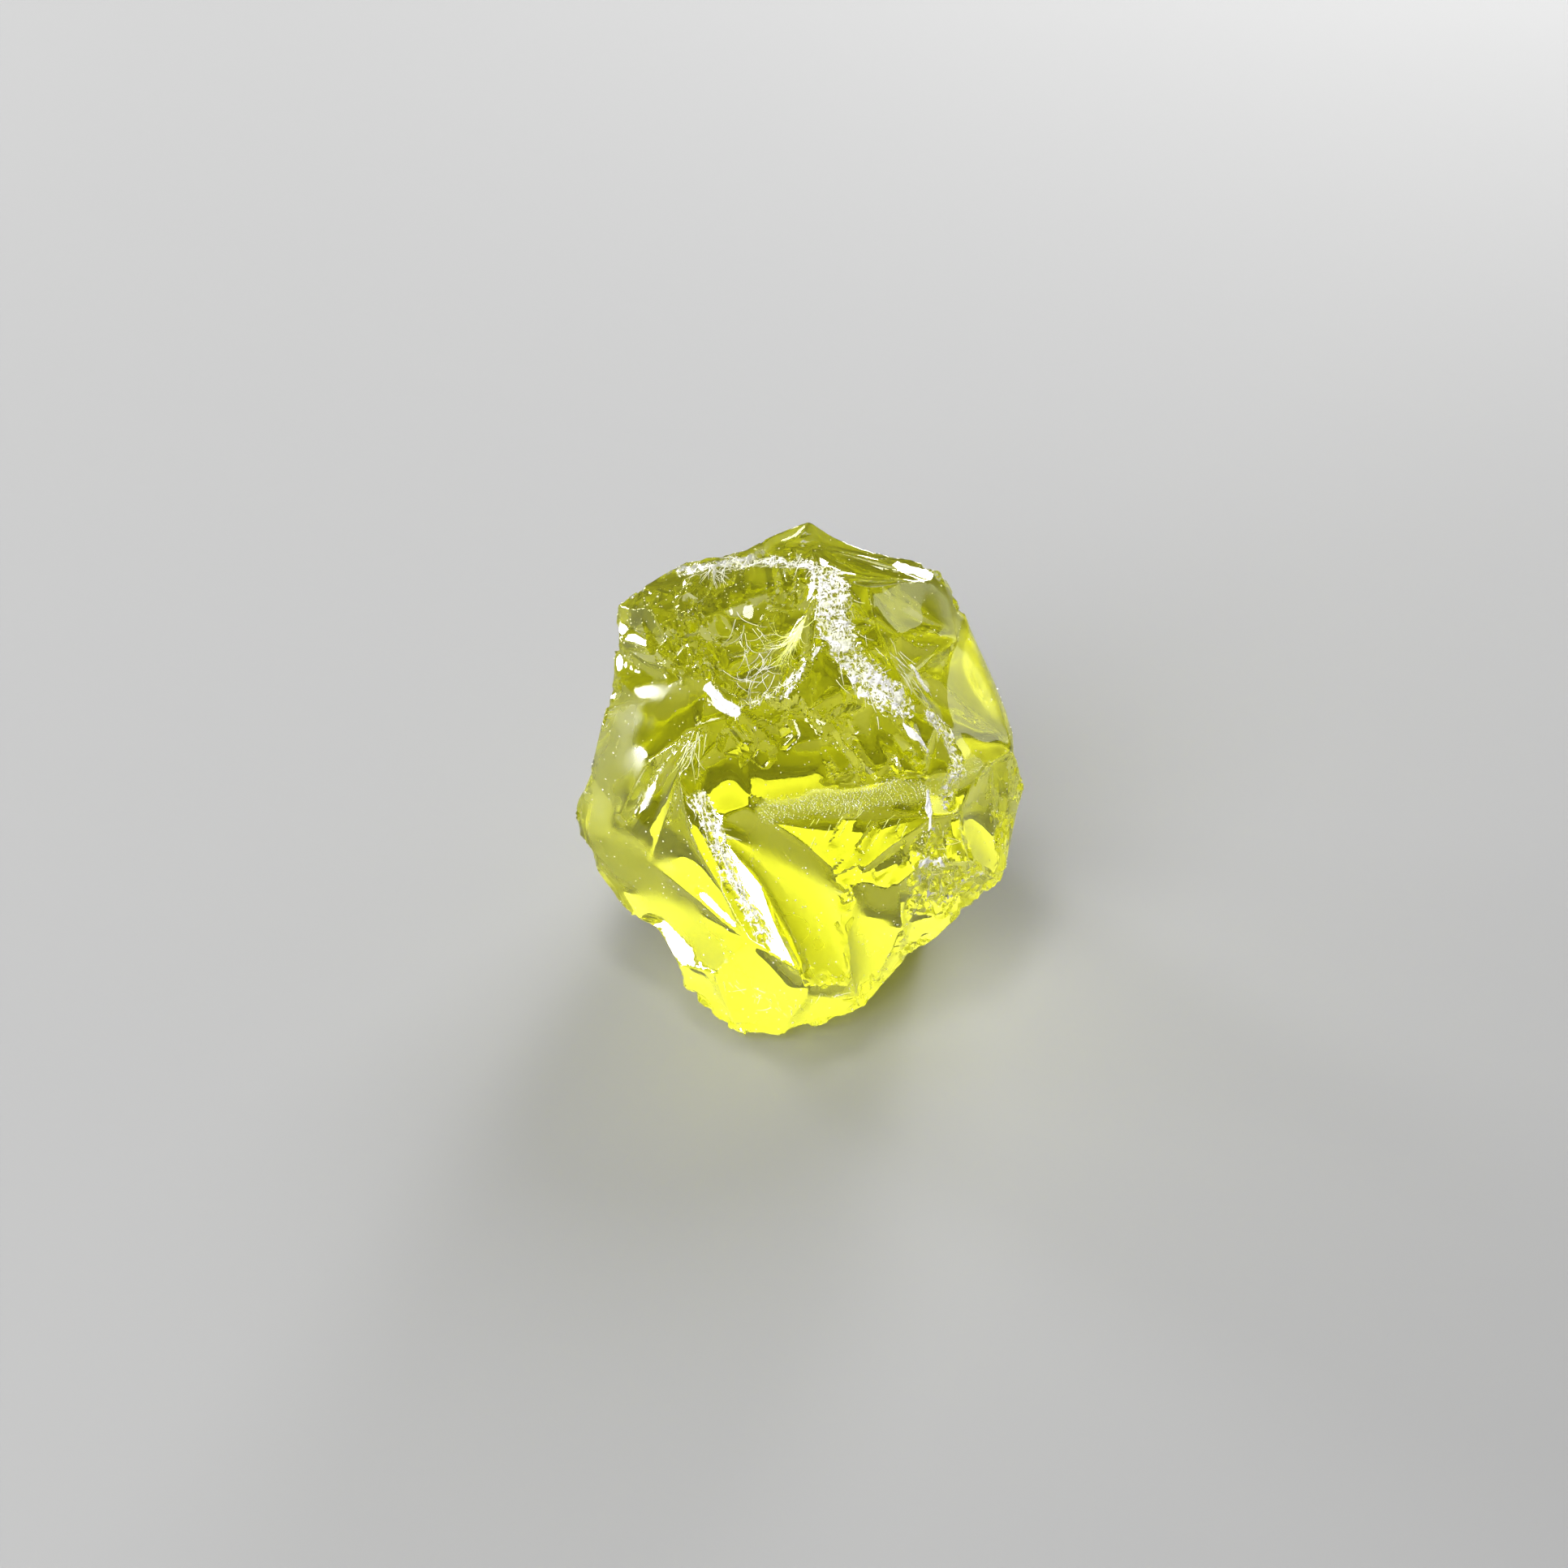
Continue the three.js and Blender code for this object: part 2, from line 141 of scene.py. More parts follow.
# Places where the hackles are deep: a line, its half width, and how many times deeper than elsewhere.
HACKLED = {
    "bowl": ([(-5.6, 18.6, 23.9), (-4.3, 20.8, 24.5), (-1.9, 20.9, 25.2), (0.0, 19.2, 25.1),
              (-3.0, 17.2, 22.9)], 3.0, 1.6),
    "middle": ([(-2.9, 10.0, 21.6), (-0.3, 10.9, 22.6), (2.8, 10.2, 21.5), (3.9, 8.9, 20.2)], 3.0, 1.6),
    "below the ribbon": ([(2.8, 5.5, 16.2), (5.5, 5.6, 16.2)], 1.5, 2.5),
}

# Edges that are chipped all along: a line, its half width, and the number of chips.
CHIPPED = {
    "right foot": ([(11.3, 9.4, 8.4), (9.6, 8.5, 7.2), (7.8, 7.7, 6.0), (6.4, 6.7, 4.9), (5.4, 5.8, 4.1),
                    (4.0, 4.5, 3.5), (2.4, 4.4, 2.1)], 0.9, 60),
    "left foot": ([(-9.2, 7.9, 7.4), (-8.4, 6.9, 6.1), (-7.5, 5.7, 4.3), (-6.2, 5.1, 2.3),
                   (-4.6, 4.1, 1.4)], 0.9, 24),
    "right side": ([(14.2, 13.9, 14.7), (13.9, 12.6, 12.2), (13.1, 10.5, 10.5), (12.3, 9.7, 9.4)],
                   0.9, 16),
}

# Places that are broken into small flat shards: a line, its half width, the number of shards, how far
# the shortest and the longest reach from their middle, the way they run, and how far they tilt.
SHARDS = {
    "middle": ([(-3.4, 10.2, 21.4), (-0.3, 10.4, 21.8), (2.8, 9.8, 21.0), (4.6, 9.2, 20.0)],
               2.2, 24, (1.0, 2.6), (0.6, -0.5, -0.6), 0.8),
    "bowl": ([(-5.6, 18.6, 23.9), (-4.3, 20.8, 24.5), (-1.9, 20.9, 25.2), (-3.0, 17.2, 22.9),
              (-5.4, 14.4, 22.9)], 2.2, 12, (1.2, 2.8), (0.2, -0.7, -0.6), 0.8),
    "temple": ([(-10.6, 18.9, 21.6), (-9.4, 20.4, 22.9), (-8.0, 18.2, 23.0)],
               2.0, 4, (1.5, 3.2), (0.5, -0.6, -0.6), 0.8),
    "right foot": ([(9.2, 7.6, 14.6), (9.6, 7.8, 10.4), (7.0, 6.4, 8.4)],
                   1.8, 30, (0.5, 1.6), (0.1, -0.5, -0.9), 0.5),
    "below the ribbon": ([(2.0, 5.4, 15.6), (5.0, 5.4, 15.2)],
                         1.6, 7, (0.6, 1.6), (-0.5, -0.4, -0.8), 0.35),
}

# Small flakes are missing here, and their breaks are as flat and smooth as a mirror: a line along the
# middle, the half width, the way the break faces, and how deep it cuts.
MIRRORS = {
    "blade": ([(-5.4, 6.2, 17.1), (-4.4, 4.9, 15.6), (-3.2, 3.5, 13.9), (-2.0, 2.0, 12.2),
               (-1.0, 0.6, 10.8)], 0.85, (-0.456, -0.799, 0.392), 0.12),
    "glare": ([(-9.3, 8.4, 6.5), (-8.5, 7.1, 6.1), (-7.6, 5.4, 6.1)],
              1.1, (-0.72, -0.437, 0.538), 0.1),
    "low glare": ([(-6.7, 4.3, 6.4), (-5.9, 3.7, 6.5), (-5.4, 3.1, 6.8)],
                  0.6, (-0.72, -0.437, 0.538), 0.1),
    "flare": ([(6.9, 22.5, 25.7), (7.5, 22.6, 25.4), (8.2, 22.4, 25.2)],
              0.75, (0.30, 0.12, 0.945), 0.08),
}


# ---- noise ---------------------------------------------------------------------------------------

# Large odd numbers that mix the bits of a cell and a seed.
CELL_MIXERS = (0x9E3779B185EBCA87, 0xC2B2AE3D27D4EB4F, 0x165667B19E3779F9)
SEED_MIXER = 0x27D4EB2F165667C5
LAST_MIXER = 0xBF58476D1CE4E5B9
WORD = 1 << 64
KEPT_BITS = 0xFFFFFF


def scramble(cells, seed):
    """A fixed pseudo-random number from 0 to 1 for each whole-number cell."""
    cells = cells.astype(np.uint64)
    mix = np.full(cells.shape[:-1], (seed + 1) * SEED_MIXER % WORD, np.uint64)
    for axis, mixer in enumerate(CELL_MIXERS):
        mix += cells[..., axis] * np.uint64(mixer)
    mix ^= mix >> np.uint64(29)
    mix *= np.uint64(LAST_MIXER)
    mix ^= mix >> np.uint64(32)
    return (mix & np.uint64(KEPT_BITS)).astype(float) / KEPT_BITS


def noise(points, size, seed):
    """Smooth noise from -1 to 1 with lumps of about the given size.

    Each use has a seed of its own, so that no two patterns are alike.
    """
    place = points / size
    cell = np.floor(place).astype(np.int64)
    part = place - cell
    ease = part * part * (3 - 2 * part)
    total = np.zeros(len(points))
    for corner in np.ndindex(2, 2, 2):
        weight = np.prod(np.where(corner, ease, 1 - ease), axis=1)
        total += weight * scramble(cell + corner, seed)
    return total * 2 - 1


def grains(points, size, seed):
    """Splits space into grains: each point's place within its grain, and three numbers of that grain."""
    place = points / size
    cell = np.floor(place).astype(np.int64)
    best = np.full(len(points), np.inf)
    offset = np.zeros_like(points)
    numbers = np.zeros_like(points)
    for step in np.ndindex(3, 3, 3):
        near = cell + np.array(step) - 1
        heart = near + np.stack([scramble(near, seed + k) for k in range(3)], 1)
        gap = place - heart
        far = (gap**2).sum(1)
        closer = far < best
        best[closer] = far[closer]
        offset[closer] = gap[closer]
        numbers[closer] = np.stack([scramble(near[closer], seed + 3 + k) for k in range(3)], 1)
    return offset * size, numbers * 2 - 1


def fade(values, low, high):
    """0 at low, 1 at high, smooth between."""
    share = np.clip((values - low) / (high - low), 0, 1)
    return share * share * (3 - 2 * share)


NEAR_TIMES = 1.5  # places are near a line up to this many half widths
NEAR_MARGIN = 0.3  # and this much more


def near_line(points, line, half_width, waver=0.0, lump=1.0, seed=0):
    """The numbers of the points near a line through the given corners, and how far from it they are.

    Noise makes the distance waver by a share of the half width.
    """
    line = np.array(line) + (0, FRONT, 0)
    reach = NEAR_TIMES * half_width + NEAR_MARGIN
    near = np.flatnonzero(((points > line.min(0) - reach) & (points < line.max(0) + reach)).all(1))
    place = points[near]
    gap = np.full(len(near), np.inf)
    for start, end in zip(line[:-1], line[1:]):
        run = end - start
        share = np.clip((place - start) @ run / (run @ run), 0, 1)
        gap = np.minimum(gap, np.linalg.norm(place - start - share[:, None] * run, axis=1))
    if waver:
        gap += waver * half_width * noise(place, lump, seed)
    return near, gap


# ---- fine skin -----------------------------------------------------------------------------------

RIDGE_ANGLE = math.radians(18)  # breaks that meet at more than this keep a sharp ridge
SMOOTH_EDGE = 0.38  # longest triangle side on a smooth break
RIDGE_EDGE = 0.26  # and beside a ridge
SHARD_EDGE = 0.22  # and among shards
CRUSHED_EDGE = 0.17  # and in a crushed zone
CRUSHED_MARGIN = 0.15  # and this far round it
HIDDEN_TIMES = 1.35  # how many times longer the sides may be on the back and the underside
HIDDEN_DEPTH = 2.0  # which begin this far behind the stone's middle
SPLIT_ROUNDS = 7
KEY = 1 << 32  # makes one number of an edge's two points
BACKWARD = (0, 0.6, -0.8)
ON_FLOOR = 1e-3  # what is lower than this stands on the floor
RELAX_ROUNDS = 14
RIDGE_ROUNDS = 2  # how much the ridges are blunted at the end


def cad_skin(node):
    """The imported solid's points in mm and its triangles, with shared points joined."""
    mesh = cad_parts[node].data
    mesh.calc_loop_triangles()
    points = np.array([v.co for v in mesh.vertices]) / MM
    triangles = np.array([t.vertices for t in mesh.loop_triangles])
    _, first, shared = np.unique(np.round(points, 3), axis=0, return_index=True, return_inverse=True)
    return points[first], shared.reshape(-1)[triangles]


def edges_of(triangles):
    """Every edge once, and for each triangle the numbers of its three edges."""
    sides = np.sort(triangles[:, [0, 1, 1, 2, 2, 0]].reshape(-1, 2), axis=1)
    keys, number = np.unique(sides[:, 0] * KEY + sides[:, 1], return_inverse=True)
    return np.stack([keys // KEY, keys % KEY], 1), number.reshape(-1, 3)


def is_among(edges, chosen):
    return np.isin(edges[:, 0] * KEY + edges[:, 1], chosen[:, 0] * KEY + chosen[:, 1])


def face_normals(points, triangles):
    a, b, c = (points[triangles[:, k]] for k in range(3))
    return np.cross(b - a, c - a)


def unit(vectors):
    return vectors / np.maximum(np.linalg.norm(vectors, axis=1), 1e-12)[:, None]


def bend_at_edges(points, triangles):
    """Every edge, the two triangles beside it, and the cosine of the angle between them."""
    edges, of_triangle = edges_of(triangles)
    order = np.argsort(of_triangle.reshape(-1), kind="stable")
    beside = (order // 3).reshape(-1, 2)
    normal = unit(face_normals(points, triangles))
    return edges, beside, (normal[beside[:, 0]] * normal[beside[:, 1]]).sum(1)


def find_breaks(triangles, edges, beside, ridges):
    """Numbers the breaks: triangles that meet without a ridge belong to one break."""
    pairs = beside[~is_among(edges, ridges)]
    number = np.arange(len(triangles))
    while True:
        new = number.copy()
        lower = np.minimum(number[pairs[:, 0]], number[pairs[:, 1]])
        np.minimum.at(new, pairs[:, 0], lower)
        np.minimum.at(new, pairs[:, 1], lower)
        new = new[new]
        if (new == number).all():
            return np.unique(number, return_inverse=True)[1]
        number = new


def longest_allowed(middles, near_ridge):
    """How long a triangle side may be, by where its middle is."""
    limit = np.where(near_ridge, RIDGE_EDGE, SMOOTH_EDGE)
    limit[(middles - AIM) @ BACKWARD > HIDDEN_DEPTH] *= HIDDEN_TIMES
    for line, half_width, _, _, _, _ in SHARDS.values():
        near, gap = near_line(middles, line, half_width)
        limit[near[gap < half_width]] = SHARD_EDGE
    for line, half_width, _, _, _ in CRUSHED.values():
        near, gap = near_line(middles, line, half_width)
        limit[near[gap < half_width + CRUSHED_MARGIN]] = CRUSHED_EDGE
    return limit


def split_long_edges(points, triangles, ridges, breaks):
    """Halves every edge that is too long, once."""
    edges, of_triangle = edges_of(triangles)
    on_ridge = np.bincount(ridges.reshape(-1), minlength=len(points)) > 0
    length = np.linalg.norm(points[edges[:, 1]] - points[edges[:, 0]], axis=1)
    long = length > longest_allowed(points[edges].mean(1), on_ridge[edges].any(1))
    middle = np.full(len(edges), -1)
    middle[long] = len(points) + np.arange(long.sum())
    points = np.vstack([points, points[edges[long]].mean(1)])

    ridge = is_among(edges, ridges)
    whole = edges[ridge & ~long]
    halved = edges[ridge & long]
    new = middle[ridge & long]
    ridges = np.vstack([whole, np.stack([halved[:, 0], new], 1), np.stack([halved[:, 1], new], 1)])

    # turn each triangle so that its one cut side comes first, or its one whole side comes last
    cut = middle[of_triangle]
    how_many = (cut >= 0).sum(1)
    first = np.where(how_many == 1, (cut >= 0).argmax(1), (cut < 0).argmax(1) + 1)
    turn = (first[:, None] + np.arange(3)) % 3
    a, b, c = np.take_along_axis(triangles, turn, 1).T
    p, q, r = np.take_along_axis(cut, turn, 1).T
    made, kin = [], []
    for count, pieces in (
        (0, [(a, b, c)]),
        (1, [(a, p, c), (p, b, c)]),
        (2, [(p, b, q), (a, p, q), (a, q, c)]),
        (3, [(a, p, r), (p, b, q), (q, c, r), (p, q, r)]),
    ):
        rows = how_many == count
        for piece in pieces:
            made.append(np.stack([side[rows] for side in piece], 1))
            kin.append(breaks[rows])
    return points, np.vstack(made), np.sort(ridges, axis=1), np.concatenate(kin)


def sum_over_neighbours(values, edges):
    """For each point, the sum of its neighbours' values."""
    ends = np.concatenate([edges[:, 0], edges[:, 1]])
    others = np.concatenate([edges[:, 1], edges[:, 0]])
    return np.stack([np.bincount(ends, column[others], len(values)) for column in values.T], 1)


def relax(points, triangles, ridges):
    """Lets the skin settle smoothly between the ridges, and each ridge between its ends."""
    edges, _ = edges_of(triangles)
    on_floor = points[:, 2] < ON_FLOOR
    on_ridge = np.bincount(ridges.reshape(-1), minlength=len(points))
    neighbours = np.bincount(edges.reshape(-1), minlength=len(points))
    free = (on_ridge == 0) & ~on_floor
    bend = (on_ridge == 2) & ~on_floor
    for _ in range(RELAX_ROUNDS):
        settled = points.copy()
        settled[free] = sum_over_neighbours(points, edges)[free] / neighbours[free, None]
        settled[bend] = points[bend] / 2 + sum_over_neighbours(points, ridges)[bend] / 4
        points = settled
    for _ in range(RIDGE_ROUNDS):
        settled = sum_over_neighbours(points, edges) / neighbours[:, None]
        settled[on_floor] = points[on_floor]
        points = (points + settled) / 2
    return points


def point_normals(points, triangles):
    face = face_normals(points, triangles)
    ends = triangles.T.reshape(-1)
    return unit(np.stack([np.bincount(ends, np.tile(column, 3), len(points)) for column in face.T], 1))


def fine_skin(node):
    """The solid's skin in small triangles, with its ridges and the break each triangle belongs to."""
    points, triangles = cad_skin(node)
    edges, beside, cosine = bend_at_edges(points, triangles)
    ridges = edges[cosine < math.cos(RIDGE_ANGLE)]
    breaks = find_breaks(triangles, edges, beside, ridges)
    for _ in range(SPLIT_ROUNDS):
        points, triangles, ridges, breaks = split_long_edges(points, triangles, ridges, breaks)
    return relax(points, triangles, ridges), triangles, ridges, breaks


# ---- relief --------------------------------------------------------------------------------------

RELIEF_SEED = 11
RIB_DEPTH = 0.012
RIB_GAPS = (0.9, 2.0)
HACKLE_DEPTH = 0.014
HACKLE_SIZE = 0.55
SKEW = (0.3, 0.5, 0.8)  # no break faces this way exactly
SMALLEST_RIBBED_BREAK = 3.0  # mm2
SWELL_DEPTH = 0.04
SWELL_SIZE = 2.2
HIDDEN_SWELL_DEPTH = 0.25  # on the back and the underside
HIDDEN_SWELL_SIZE = 5.5
RELIEF_BEGINS = 0.3  # above the floor

CHIP_COUNT = 420  # besides those of the edges that are chipped all along
CHIP_WIDTHS = (0.3, 1.0)  # and the power of 1.5 makes more of them small
CHIP_BITES = (0.08, 0.2)  # how deep a chip is, as a share of its width
CHIP_LEAN = 0.45  # how far chips lean away from the skin's own direction
CHIPPED_FROM = 0.4  # no chips lower than this, but for those edges
PEAK_KEPT = 1.5  # no chips this near to the top of the peak
STICKS_OUT = 0.02  # a ridge is chipped where it stands out from the points round it by this much
MIRROR_MARGIN = 0.5  # chips this near to a mirror hardly bite
MIRROR_BITE = 0.1

SHARD_WIDTHS = (0.25, 0.45)  # how wide a shard is, as a share of its length
SHARD_SINK = 0.06  # how deep its middle lies, as a share of its length
SHARD_DEEPEST = 0.3  # and its deepest place
SHARD_STRAY = 0.3  # how far the shards stray from the way they run


def tree_of(points):
    tree = KDTree(len(points))
    for number, point in enumerate(points):
        tree.insert(point, number)
    tree.balance()
    return tree


def distance_to_ridges(points, ridges):
    tree = tree_of(points[np.unique(ridges)])
    return np.array([tree.find(point)[2] for point in points])


def ribs_and_hackles(points, triangles, breaks, ridge_gap):
    """Each break has curved ribs round the point where it started, and hackles that run away from it."""
    depth = np.zeros(len(points))
    face = face_normals(points, triangles)
    area = np.linalg.norm(face, axis=1) / 2
    random = np.random.default_rng(RELIEF_SEED)
    for number in range(breaks.max() + 1):
        mine = breaks == number
        if area[mine].sum() < SMALLEST_RIBBED_BREAK:
            continue
        inside = np.unique(triangles[mine])
        place = points[inside]
        normal = face[mine].sum(0)
        normal /= np.linalg.norm(normal)
        start = place[random.integers(len(place))]
        start = start + (start - place.mean(0)) * random.uniform(0.2, 0.7)
        across = np.cross(normal, SKEW)
        across /= np.linalg.norm(across)
        along = np.cross(normal, across)
        away = place - start
        x, y = away @ across, away @ along
        radius = np.hypot(x, y)
        angle = np.arctan2(y, x)
        reach = radius.max()
        warp = noise(place, 3.0, number)
        rib_gap = random.uniform(*RIB_GAPS)
        rib = 0.5 + 0.5 * np.sin(2 * math.pi * (radius / rib_gap + 0.5 * warp))
        rib *= fade(noise(place, 4.0, 50 + number), -0.2, 0.6)
        turns = np.stack([np.cos(angle), np.sin(angle), np.zeros(len(angle))], 1) * reach
        turns[:, 2] += radius * 0.12
        spoke = noise(turns, HACKLE_SIZE, 100 + number)
        hackle = np.abs(spoke) * fade(radius / reach + 0.3 * warp, 0.45, 0.9)
        edge = fade(ridge_gap[inside], 0.05, 0.5)
        depth[inside] = np.maximum(depth[inside], edge * (RIB_DEPTH * rib + HACKLE_DEPTH * hackle))
    deeper = np.ones(len(points))
    for line, half_width, times in HACKLED.values():
        near, gap = near_line(points, line, half_width)
        deeper[near] = np.maximum(deeper[near], 1 + (times - 1) * fade(gap, half_width, 0.5 * half_width))
    return depth * deeper


def crushed_relief(points):
    """How far the grains of each crushed zone lie under the skin, and how crushed each point is."""
    depth = np.zeros(len(points))
    crushed = np.zeros(len(points))
    for number, (line, half_width, size, deepest, _) in enumerate(CRUSHED.values()):
        near, gap = near_line(points, line, half_width, 0.35, 0.8, 200 + number)
        near, gap = near[gap < half_width], gap[gap < half_width]
        share = fade(half_width - gap, 0, 0.35 * half_width)
        offset, random = grains(points[near], size, 300 + 10 * number)
        tilt = (offset * random).sum(1) / size
        grain = np.clip(0.5 + 0.35 * random[:, 0] + 0.9 * tilt, 0, 1)
        depth[near] = np.maximum(depth[near], share * deepest * grain)
        crushed[near] = np.maximum(crushed[near], share)
    return depth, crushed


def chip_ridges(points, triangles, ridges):
    """Small round flakes are missing along the ridges that stick out, but hardly any at the mirrors."""
    normal = point_normals(points, triangles)
    on_ridge = np.unique(ridges)
    edges, _ = edges_of(triangles)
    centre = sum_over_neighbours(points, edges)
    count = np.bincount(edges.reshape(-1), minlength=len(points))
    bulge = ((points - centre / count[:, None]) * normal).sum(1)
    height = points[on_ridge, 2]
    open_to_chips = (height > CHIPPED_FROM) & (height < points[:, 2].max() - PEAK_KEPT)
    sharp = on_ridge[(bulge[on_ridge] > STICKS_OUT) & open_to_chips]
    random = np.random.default_rng(RELIEF_SEED + 1)
    tree = tree_of(points)
    near_mirror = np.zeros(len(points), dtype=bool)
    for line, half_width, _, _ in MIRRORS.values():
        near, gap = near_line(points, line, half_width + MIRROR_MARGIN)
        near_mirror[near[gap < half_width + MIRROR_MARGIN]] = True
    starts = [random.choice(sharp, CHIP_COUNT)]
    for line, half_width, count in CHIPPED.values():
        near, gap = near_line(points[on_ridge], line, half_width)
        starts.append(random.choice(on_ridge[near[gap < half_width]], count))
    for start in np.concatenate(starts):
        width = random.uniform(*CHIP_WIDTHS) ** 1.5
        bite = width * random.uniform(*CHIP_BITES)
        if near_mirror[start]:
            bite *= MIRROR_BITE
        radius = width**2 / (2 * bite)
        lean = random.normal(size=3) * CHIP_LEAN
        away = normal[start] + lean
        away /= np.linalg.norm(away)
        heart = points[start] + away * (radius - bite)
        for _, number, _ in tree.find_range(points[start].copy(), 1.5 * width):
            gap = points[number] - heart
            length = np.linalg.norm(gap)
            if radius - 2 * bite < length < radius:
                points[number] = heart + gap * radius / length
    return points


def cut_mirrors(points, triangles):
    """Cuts each small mirror flat."""
    skin = point_normals(points, triangles)
    for line, half_width, facing, bite in MIRRORS.values():
        facing = np.array(facing) / np.linalg.norm(facing)
        near, gap = near_line(points, line, half_width)
        inside = near[gap < half_width]
        heart = inside[skin[inside] @ facing > 0.8]
        if len(heart) == 0:
            continue
        above = np.maximum((points[near] - points[heart].mean(0)) @ facing + bite, 0)
        points[near] -= facing * (above * fade(gap, 1.1 * half_width, 0.9 * half_width))[:, None]
    return points


def break_shards(points, triangles):
    """Cuts small flat shards, each with a step at one side, but none into the ribbon."""
    random = np.random.default_rng(RELIEF_SEED + 2)
    skin = point_normals(points, triangles)
    tree = tree_of(points)
    share = np.ones(len(points))
    near, gap = near_line(points, MATT["ribbon"][0], 1.2)
    share[near] = fade(gap, 0.8, 1.3)
    for line, half_width, count, lengths, run, tilt in SHARDS.values():
        near, gap = near_line(points, line, half_width)
        seats = near[gap < half_width]
        for start in random.choice(seats, count):
            long = random.uniform(*lengths)
            wide = long * random.uniform(*SHARD_WIDTHS)
            facing = skin[start] + random.normal(size=3) * tilt / 2
            facing /= np.linalg.norm(facing)
            along = np.array(run) + random.normal(size=3) * SHARD_STRAY
            along -= facing * (along @ facing)
            along /= np.linalg.norm(along)
            across = np.cross(facing, along)
            heart = points[start] - facing * SHARD_SINK * long
            around = np.array([number for _, number, _ in tree.find_range(points[start].copy(), long)])
            away = points[around] - heart
            reach = np.maximum(np.abs(away @ along) / long, np.abs(away @ across) / wide)
            above = np.clip(away @ facing, 0, SHARD_DEEPEST * long)
            points[around] -= facing * (share[around] * above * fade(reach, 1.0, 0.75))[:, None]
    return points


def swells(points, hidden, ridge_gap):
    """The back and the underside roll gently."""
    depth = HIDDEN_SWELL_DEPTH * (1 + noise(points, HIDDEN_SWELL_SIZE, 500))
    return depth * hidden * fade(ridge_gap, 0.1, 1.5)


def sculpt(points, triangles, ridges, breaks):
    """All the relief, cut into the skin and never out of it."""
    points = chip_ridges(points, triangles, ridges)
    points = break_shards(points, triangles)
    points = cut_mirrors(points, triangles)
    ridge_gap = distance_to_ridges(points, ridges)
    depth = ribs_and_hackles(points, triangles, breaks, ridge_gap)
    depth += SWELL_DEPTH * (0.5 + 0.5 * noise(points, SWELL_SIZE, 1)) * fade(ridge_gap, 0, 1.2)
    hidden = fade(point_normals(points, triangles) @ BACKWARD, 0.1, 0.5)
    depth += swells(points, hidden, ridge_gap)
    for line, half_width, _, _ in MIRRORS.values():
        near, gap = near_line(points, line, half_width)
        depth[near] *= fade(gap, 0.8 * half_width, 1.2 * half_width)
    grain_depth, crushed = crushed_relief(points)
    depth = np.maximum(depth * (1 - crushed), grain_depth)
    depth[points[:, 2] < RELIEF_BEGINS] = 0
    normal = point_normals(points, triangles)
    return points - normal * depth[:, None], crushed


def make_piece(name, points, triangles, sharp=None):
    """A piece that is smooth between its sharp edges, or flat-faced if none are given."""
    mesh = bpy.data.meshes.new(name)
    mesh.from_pydata((points * MM).tolist(), [], triangles.tolist(), shade_flat=sharp is None)
    mesh.update()
    if sharp is not None:
        edges = np.zeros(len(mesh.edges) * 2, np.int64)
        mesh.edges.foreach_get("vertices", edges)
        layer = mesh.attributes.new("sharp_edge", "BOOLEAN", "EDGE")
        layer.data.foreach_set("value", is_among(np.sort(edges.reshape(-1, 2), axis=1), sharp))
    piece = bpy.data.objects.new(name, mesh)
    bpy.context.scene.collection.objects.link(piece)
    return piece


# How matt the crushed zones, the back and the underside are, from 0 to 1.
CRUSHED_FROST = 0.25
BACK_FROST = 0.35
BASE_FROST = 0.5


def frost_of(points, triangles, crushed):
    """How matt each point is, from 0 to 1."""
    normal = point_normals(points, triangles)
    back = fade(normal @ BACKWARD, 0.0, 0.4) * fade(points[:, 2], 0.3, 1.5)
    under = fade(-normal[:, 2], 0.6, 0.95)
    frost = np.maximum.reduce([CRUSHED_FROST * crushed, BACK_FROST * back, BASE_FROST * under])
    for line, half_width, matt in MATT.values():
        near, gap = near_line(points, line, half_width, 0.3, 1.2, 710)
        frost[near] = np.maximum(frost[near], matt * fade(gap, half_width, 0.1 * half_width))
    for line, half_width, _, _ in MIRRORS.values():
        near, gap = near_line(points, line, half_width)
        frost[near] *= fade(gap, 0.8 * half_width, 1.2 * half_width)
    return frost


# ---- crust, threads and dust ---------------------------------------------------------------------

CRUST_EDGE = 0.012  # how high the crust is at its rim
CRUST_HEIGHT = 0.11  # and how much higher in the middle
CRUST_ROOT = 0.03  # how far the crust reaches under the skin
CRUST_BEGINS = 0.5  # above the floor
LACE_SIZE = 0.38
FINE_LACE_SIZE = 0.7 * LACE_SIZE
LACE_WIDTH = 0.22
PATCH_SIZE = 1.1
FINE_PATCH_SIZE = 0.35
THREAD_STEP = 0.14
THREAD_GAP = 0.3  # a thread ends when it comes this far from the skin
THREAD_TURN = 0.05
THREAD_THICKNESSES = (0.018, 0.04)
THREAD_TAPER = 0.8  # how much thinner a thread is at its end
THREAD_HEIGHT = 1.2  # how high it is, as a share of its thickness
CRUMB_SEED = 23
DUST_COUNT = 1600
DUST_SIZES = (0.07, 0.12)
DUST_WHITENESS = 0.9
RIBBON_DUST_COUNT = 2600
RIBBON_DUST_SIZES = (0.05, 0.09)
RIBBON_DUST_WHITENESS = 0.6
FLAKE_SIZES = (0.1, 0.2)
FLAKE_THICKNESS = 0.4
FLAKE_WHITENESS = 1.1

# A grain is an octahedron: its corners are a pair across, a pair along, and a pair up and down.
GRAIN_TRIANGLES = np.array([
    (0, 2, 4), (2, 1, 4), (1, 3, 4), (3, 0, 4),
    (2, 0, 5), (1, 2, 5), (3, 1, 5), (0, 3, 5),
])

# How many loose flakes lie in a crushed zone.
FLAKES = {"ridge": 520, "column": 110, "chips": 60, "streak": 110, "rim": 130, "lip": 40}

